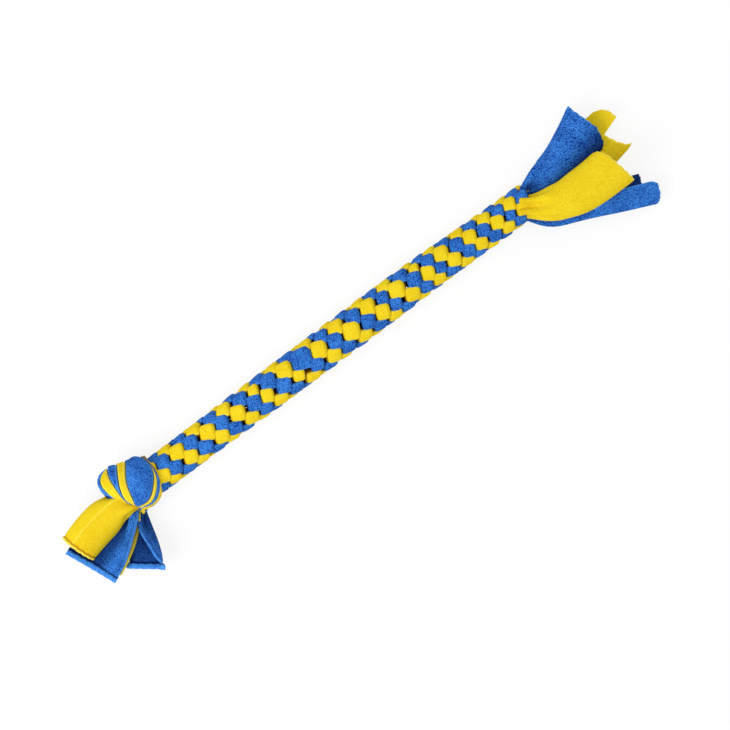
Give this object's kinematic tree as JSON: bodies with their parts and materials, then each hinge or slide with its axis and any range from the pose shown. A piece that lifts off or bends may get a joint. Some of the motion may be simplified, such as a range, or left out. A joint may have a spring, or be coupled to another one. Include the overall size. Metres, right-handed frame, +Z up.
{
  "type": "rope dog toy",
  "caption": "Braided fleece tug toy: a round rope of yellow and blue strips, knotted with short tails at one end and opening into loose flared strips at the other.",
  "frame": {"origin": "on the flat underside of the braid's middle stretch, where the toy rests on the floor", "axes": "+X along the braid towards the loose flared ends, +Z up from the floor, +Y across the braid"},
  "size_m": [0.7028, 0.1302, 0.0523],
  "materials": {
    "yellow_fleece": "matte brushed fleece, smooth short nap",
    "blue_fleece": "matte fleece, pebbly curled nap"
  },
  "bodies": {
    "knot_end": {"braid_1_yellow_a": "yellow_fleece", "braid_1_blue_a": "blue_fleece", "braid_1_yellow_b": "yellow_fleece", "braid_1_blue_b": "blue_fleece", "knot_yellow_a": "yellow_fleece", "knot_blue_a": "blue_fleece", "knot_yellow_b": "yellow_fleece", "knot_blue_b": "blue_fleece"},
    "braid_2": {"braid_2_yellow_a": "yellow_fleece", "braid_2_blue_a": "blue_fleece", "braid_2_yellow_b": "yellow_fleece", "braid_2_blue_b": "blue_fleece"},
    "braid_3": {"braid_3_yellow_a": "yellow_fleece", "braid_3_blue_a": "blue_fleece", "braid_3_yellow_b": "yellow_fleece", "braid_3_blue_b": "blue_fleece"},
    "braid_4": {"braid_4_yellow_a": "yellow_fleece", "braid_4_blue_a": "blue_fleece", "braid_4_yellow_b": "yellow_fleece", "braid_4_blue_b": "blue_fleece"},
    "braid_5": {"braid_5_yellow_a": "yellow_fleece", "braid_5_blue_a": "blue_fleece", "braid_5_yellow_b": "yellow_fleece", "braid_5_blue_b": "blue_fleece"},
    "braid_6": {"braid_6_yellow_a": "yellow_fleece", "braid_6_blue_a": "blue_fleece", "braid_6_yellow_b": "yellow_fleece", "braid_6_blue_b": "blue_fleece"},
    "tassel_end": {"braid_7_yellow_a": "yellow_fleece", "braid_7_blue_a": "blue_fleece", "braid_7_yellow_b": "yellow_fleece", "braid_7_blue_b": "blue_fleece"},
    "tail_yellow_a": {"tail_yellow_a": "yellow_fleece"},
    "tail_blue_a": {"tail_blue_a": "blue_fleece"},
    "tail_yellow_b": {"tail_yellow_b": "yellow_fleece"},
    "tail_blue_b": {"tail_blue_b": "blue_fleece"},
    "tassel_yellow_a": {"tassel_yellow_a": "yellow_fleece"},
    "tassel_blue_a": {"tassel_blue_a": "blue_fleece"},
    "tassel_yellow_b": {"tassel_yellow_b": "yellow_fleece"},
    "tassel_blue_b": {"tassel_blue_b": "blue_fleece"}
  },
  "joints": [
    {"name": "bend_3_4", "type": "hinge", "parent": "braid_4", "child": "braid_3", "pos_m": [-0.032, 0, 0.0175], "axis": [0, 0, 1], "range_deg": [-35, 35], "stiffness_Nm_per_rad": 1.2},
    {"name": "lift_2_3", "type": "hinge", "parent": "braid_3", "child": "braid_2", "pos_m": [-0.096, 0, 0.0175], "axis": [0, 1, 0], "range_deg": [0, 35], "stiffness_Nm_per_rad": 1.2},
    {"name": "bend_1_2", "type": "hinge", "parent": "braid_2", "child": "knot_end", "pos_m": [-0.16, 0, 0.0175], "axis": [0, 0, 1], "range_deg": [-35, 35], "stiffness_Nm_per_rad": 1.2},
    {"name": "bend_4_5", "type": "hinge", "parent": "braid_4", "child": "braid_5", "pos_m": [0.032, 0, 0.0175], "axis": [0, 0, 1], "range_deg": [-35, 35], "stiffness_Nm_per_rad": 1.2},
    {"name": "lift_5_6", "type": "hinge", "parent": "braid_5", "child": "braid_6", "pos_m": [0.096, 0, 0.0175], "axis": [0, -1, 0], "range_deg": [0, 35], "stiffness_Nm_per_rad": 1.2},
    {"name": "bend_6_7", "type": "hinge", "parent": "braid_6", "child": "tassel_end", "pos_m": [0.16, 0, 0.0175], "axis": [0, 0, 1], "range_deg": [-35, 35], "stiffness_Nm_per_rad": 1.2},
    {"name": "swing_tail_blue_b", "type": "hinge", "parent": "knot_end", "child": "tail_blue_b", "pos_m": [-0.2584, -0.012, 0.0055], "axis": [0, 0, 1], "range_deg": [-8, 26], "stiffness_Nm_per_rad": 0.05},
    {"name": "swing_tail_yellow_a", "type": "hinge", "parent": "knot_end", "child": "tail_yellow_a", "pos_m": [-0.2584, -0.012, 0.0137], "axis": [0, 0, 1], "range_deg": [-12, 15], "stiffness_Nm_per_rad": 0.05},
    {"name": "swing_tail_blue_a", "type": "hinge", "parent": "knot_end", "child": "tail_blue_a", "pos_m": [-0.2584, -0.012, 0.0219], "axis": [0, 0, 1], "range_deg": [-15, 15], "stiffness_Nm_per_rad": 0.05},
    {"name": "swing_tail_yellow_b", "type": "hinge", "parent": "knot_end", "child": "tail_yellow_b", "pos_m": [-0.2584, -0.012, 0.0301], "axis": [0, 0, 1], "range_deg": [-8, 22], "stiffness_Nm_per_rad": 0.05},
    {"name": "swing_tassel_yellow_a", "type": "hinge", "parent": "tassel_end", "child": "tassel_yellow_a", "pos_m": [0.2293, -0.00465, 0.00837], "axis": [0, 0, 1], "range_deg": [-10, 4], "stiffness_Nm_per_rad": 0.05},
    {"name": "swing_tassel_blue_a", "type": "hinge", "parent": "tassel_end", "child": "tassel_blue_a", "pos_m": [0.2293, -0.00913, 0.02215], "axis": [0, 0, 1], "range_deg": [-30, 3], "stiffness_Nm_per_rad": 0.05},
    {"name": "lift_tassel_yellow_b", "type": "hinge", "parent": "tassel_end", "child": "tassel_yellow_b", "pos_m": [0.2293, 0.00465, 0.02663], "axis": [0, -1, 0], "range_deg": [-2, 40], "stiffness_Nm_per_rad": 0.05},
    {"name": "swing_tassel_blue_b", "type": "hinge", "parent": "tassel_end", "child": "tassel_blue_b", "pos_m": [0.2293, 0.00913, 0.01285], "axis": [0, 0, 1], "range_deg": [-2, 30], "stiffness_Nm_per_rad": 0.05}
  ]
}
